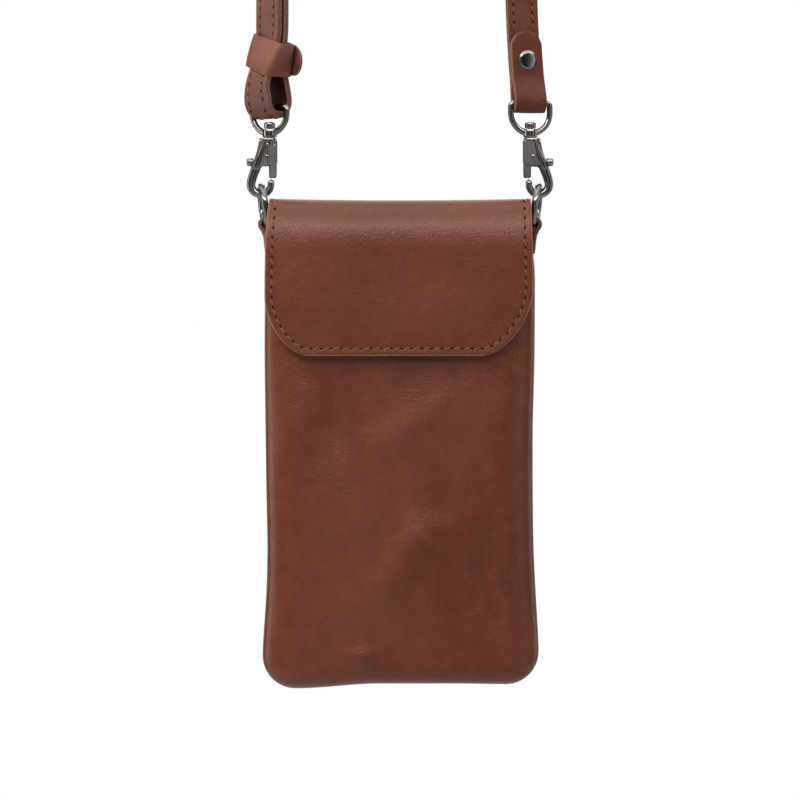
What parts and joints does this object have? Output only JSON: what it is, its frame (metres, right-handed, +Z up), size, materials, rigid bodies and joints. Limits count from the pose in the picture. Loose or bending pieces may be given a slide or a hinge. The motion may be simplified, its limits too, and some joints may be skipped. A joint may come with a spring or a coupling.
{
  "type": "phone pouch",
  "caption": "Slim leather phone pouch with a fold-over flap, side rings and a stitched strap that clips on with sprung swivel clasps and carries a sliding keeper.",
  "frame": {"origin": "top of the inside of the strap's arch, where it hangs from a hand, shoulder or peg", "axes": "+Z up, the pouch's front faces -Y, +X to the right seen from the front"},
  "size_m": [0.1206, 0.0271, 0.3863],
  "materials": {
    "leather": "smooth, soft sheen",
    "lining": "plain matt cloth",
    "gunmetal": "polished dark grey plating",
    "magnet": "satin plating"
  },
  "bodies": {
    "strap": {"strap_outer": "leather", "strap_lining": "leather", "strap_left_tail": "leather", "strap_right_end": "leather", "right_end_rivet": "gunmetal", "left_tail_rivet": "gunmetal"},
    "keeper": {"keeper_band": "leather", "keeper_rivet": "gunmetal"},
    "left_eye": {"left_eye": "gunmetal"},
    "right_eye": {"right_eye": "gunmetal"},
    "left_hook": {"left_hook": "gunmetal", "left_swivel_post": "gunmetal", "left_gate_pin": "gunmetal"},
    "right_hook": {"right_hook": "gunmetal", "right_swivel_post": "gunmetal", "right_gate_pin": "gunmetal"},
    "left_gate": {"left_gate": "gunmetal"},
    "right_gate": {"right_gate": "gunmetal"},
    "pouch": {"front_panel": "leather", "back_panel": "leather", "front_lining": "lining", "back_lining": "lining", "left_tab": "leather", "right_tab": "leather", "snap_socket": "magnet"},
    "left_ring": {"left_ring": "gunmetal"},
    "right_ring": {"right_ring": "gunmetal"},
    "flap": {"flap_outer": "leather", "flap_lining": "leather", "snap_stud": "magnet"}
  },
  "joints": [
    {"name": "left_clasp_tilt", "type": "hinge", "parent": "strap", "child": "left_eye", "pos_m": [-0.05073, 0, -0.15906], "axis": [1, 0, 0], "range_deg": [-8, 8]},
    {"name": "right_clasp_tilt", "type": "hinge", "parent": "strap", "child": "right_eye", "pos_m": [0.05073, 0, -0.15906], "axis": [1, 0, 0], "range_deg": [-8, 8]},
    {"name": "left_swivel", "type": "hinge", "parent": "left_eye", "child": "left_hook", "pos_m": [-0.05073, 0, -0.17101], "axis": [0, 0, 1], "range_deg": [-10, 10]},
    {"name": "right_swivel", "type": "hinge", "parent": "right_eye", "child": "right_hook", "pos_m": [0.05073, 0, -0.17101], "axis": [0, 0, -1], "range_deg": [-10, 10]},
    {"name": "left_gate_open", "type": "hinge", "parent": "left_hook", "child": "left_gate", "pos_m": [-0.05173, 0, -0.17831], "axis": [0, 1, 0], "range_deg": [0, 20], "stiffness_Nm_per_rad": 0.02, "springref_deg": -8.59},
    {"name": "right_gate_open", "type": "hinge", "parent": "right_hook", "child": "right_gate", "pos_m": [0.05173, 0, -0.17831], "axis": [0, -1, 0], "range_deg": [0, 20], "stiffness_Nm_per_rad": 0.02, "springref_deg": -8.59},
    {"name": "pouch_swing", "type": "hinge", "parent": "left_eye", "child": "pouch", "pos_m": [0, 0, -0.19725], "axis": [1, 0, 0], "range_deg": [-8, 8]},
    {"name": "left_ring_spin", "type": "hinge", "parent": "pouch", "child": "left_ring", "pos_m": [-0.05319, 0, -0.19725], "axis": [-0.9851, -0.121, -0.1219], "continuous": true},
    {"name": "right_ring_spin", "type": "hinge", "parent": "pouch", "child": "right_ring", "pos_m": [0.05319, 0, -0.19725], "axis": [0.9851, -0.121, -0.1219], "continuous": true},
    {"name": "flap_hinge", "type": "hinge", "parent": "pouch", "child": "flap", "pos_m": [0, -0.0036, -0.195], "axis": [-1, 0, 0], "range_deg": [0, 98]},
    {"name": "keeper_slide", "type": "slide", "parent": "strap", "child": "keeper", "axis": [0.0309, 0, 0.9995], "range_m": [-0.001, 0.003]}
  ],
  "couplings": [
    {"joint": "right_clasp_tilt", "follows": "left_clasp_tilt", "ratio": 1}
  ]
}
